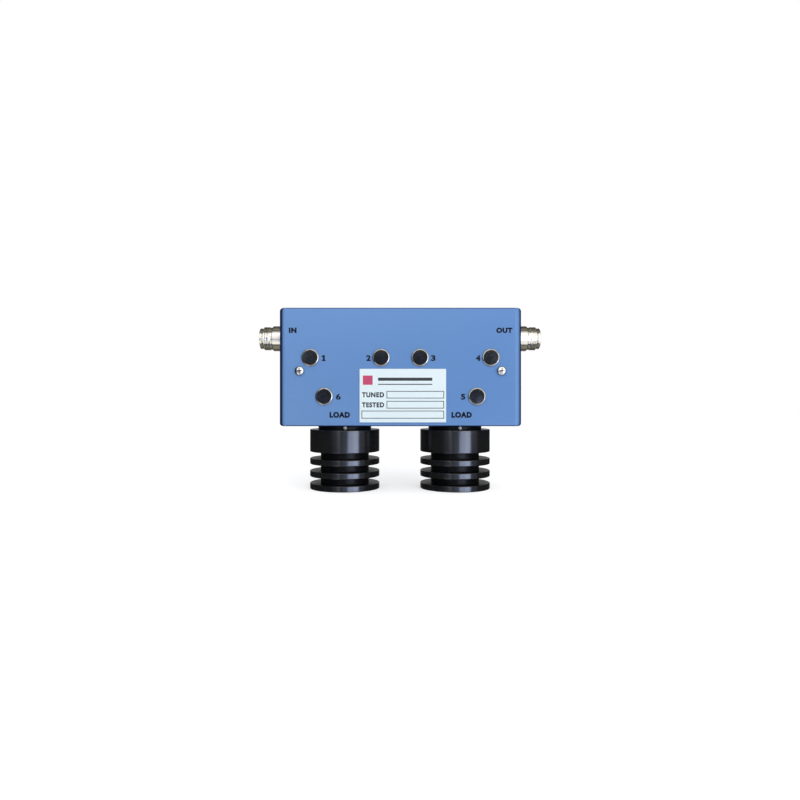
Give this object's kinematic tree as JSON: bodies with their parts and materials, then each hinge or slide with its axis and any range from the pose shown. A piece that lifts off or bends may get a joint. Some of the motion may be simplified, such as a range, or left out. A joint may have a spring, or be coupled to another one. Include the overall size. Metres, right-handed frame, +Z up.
{
  "type": "dual rf isolator",
  "caption": "Box-shaped two-stage RF isolator with a coaxial jack on each end and finned round loads hanging under it.",
  "frame": {"origin": "on the surface that the two loads stand on, under the middle of the box", "axes": "+X from the input jack to the output jack, +Y from the front to the back plate, +Z up"},
  "size_m": [0.1908, 0.0552, 0.1199],
  "materials": {
    "blue_anodised": "brushed along its length and anodised blue",
    "black_anodised": "turned and anodised satin black",
    "nickel_plate": "bright nickel plate over brass",
    "nickel_screw": "nickel-plated steel",
    "dark_nickel": "smooth dark nickel plate",
    "label_white": "satin off-white label with dark printed lines",
    "white_insulator": "waxy white fluoropolymer",
    "gold_plate": "gold plate over brass",
    "brass": "bare turned brass",
    "silver_plate": "silver-plated copper strip",
    "ceramic": "unglazed white ceramic",
    "ferrite": "ground dark garnet",
    "magnet": "sintered dark ferrite magnet",
    "plated_steel": "zinc-plated mild steel strip",
    "bare_aluminium": "bare rolled aluminium"
  },
  "bodies": {
    "isolator": {"housing": "blue_anodised", "back_plate": "blue_anodised", "back_screw_1": "nickel_screw", "back_screw_2": "nickel_screw", "back_screw_3": "nickel_screw", "back_screw_4": "nickel_screw", "front_screw_left": "nickel_screw", "front_screw_right": "nickel_screw", "hole_plug_1": "dark_nickel", "hole_plug_2": "dark_nickel", "hole_plug_3": "dark_nickel", "hole_plug_4": "dark_nickel", "hole_plug_5": "dark_nickel", "hole_plug_6": "dark_nickel", "label_plate": "label_white", "input_jack_body": "nickel_plate", "input_jack_insulator": "white_insulator", "input_jack_contact": "gold_plate", "input_jack_nut": "nickel_plate", "output_jack_body": "nickel_plate", "output_jack_insulator": "white_insulator", "output_jack_contact": "gold_plate", "output_jack_nut": "nickel_plate", "input_load_heat_sink": "black_anodised", "input_load_lock_screw": "nickel_screw", "input_load_resistor": "ceramic", "output_load_heat_sink": "black_anodised", "output_load_lock_screw": "nickel_screw", "output_load_resistor": "ceramic", "carrier_plate": "bare_aluminium", "input_centre_conductor": "silver_plate", "input_ferrite_front": "ferrite", "input_ferrite_rear": "ferrite", "input_magnet_front": "magnet", "input_magnet_rear": "magnet", "input_return_yoke": "plated_steel", "output_centre_conductor": "silver_plate", "output_ferrite_front": "ferrite", "output_ferrite_rear": "ferrite", "output_magnet_front": "magnet", "output_magnet_rear": "magnet", "output_return_yoke": "plated_steel", "trimmer_1_stator": "ceramic", "trimmer_2_stator": "ceramic", "trimmer_3_stator": "ceramic", "trimmer_4_stator": "ceramic", "trimmer_5_stator": "ceramic", "trimmer_6_stator": "ceramic", "input_link": "silver_plate", "output_link": "silver_plate", "input_load_link": "silver_plate", "output_load_link": "silver_plate", "interstage_link": "silver_plate"},
    "rotor_1": {"trimmer_1_rotor": "brass"},
    "rotor_2": {"trimmer_2_rotor": "brass"},
    "rotor_3": {"trimmer_3_rotor": "brass"},
    "rotor_4": {"trimmer_4_rotor": "brass"},
    "rotor_5": {"trimmer_5_rotor": "brass"},
    "rotor_6": {"trimmer_6_rotor": "brass"}
  },
  "joints": [
    {"name": "trimmer_1_turn", "type": "hinge", "parent": "isolator", "child": "rotor_1", "pos_m": [-0.0584, 0, 0.08763], "axis": [0, -1, 0], "continuous": true},
    {"name": "trimmer_2_turn", "type": "hinge", "parent": "isolator", "child": "rotor_2", "pos_m": [-0.0126, 0, 0.08763], "axis": [0, -1, 0], "continuous": true},
    {"name": "trimmer_3_turn", "type": "hinge", "parent": "isolator", "child": "rotor_3", "pos_m": [0.0126, 0, 0.08763], "axis": [0, -1, 0], "continuous": true},
    {"name": "trimmer_4_turn", "type": "hinge", "parent": "isolator", "child": "rotor_4", "pos_m": [0.0584, 0, 0.08763], "axis": [0, -1, 0], "continuous": true},
    {"name": "trimmer_5_turn", "type": "hinge", "parent": "isolator", "child": "rotor_5", "pos_m": [0.0494, 0, 0.06253], "axis": [0, -1, 0], "continuous": true},
    {"name": "trimmer_6_turn", "type": "hinge", "parent": "isolator", "child": "rotor_6", "pos_m": [-0.0494, 0, 0.06253], "axis": [0, -1, 0], "continuous": true}
  ]
}
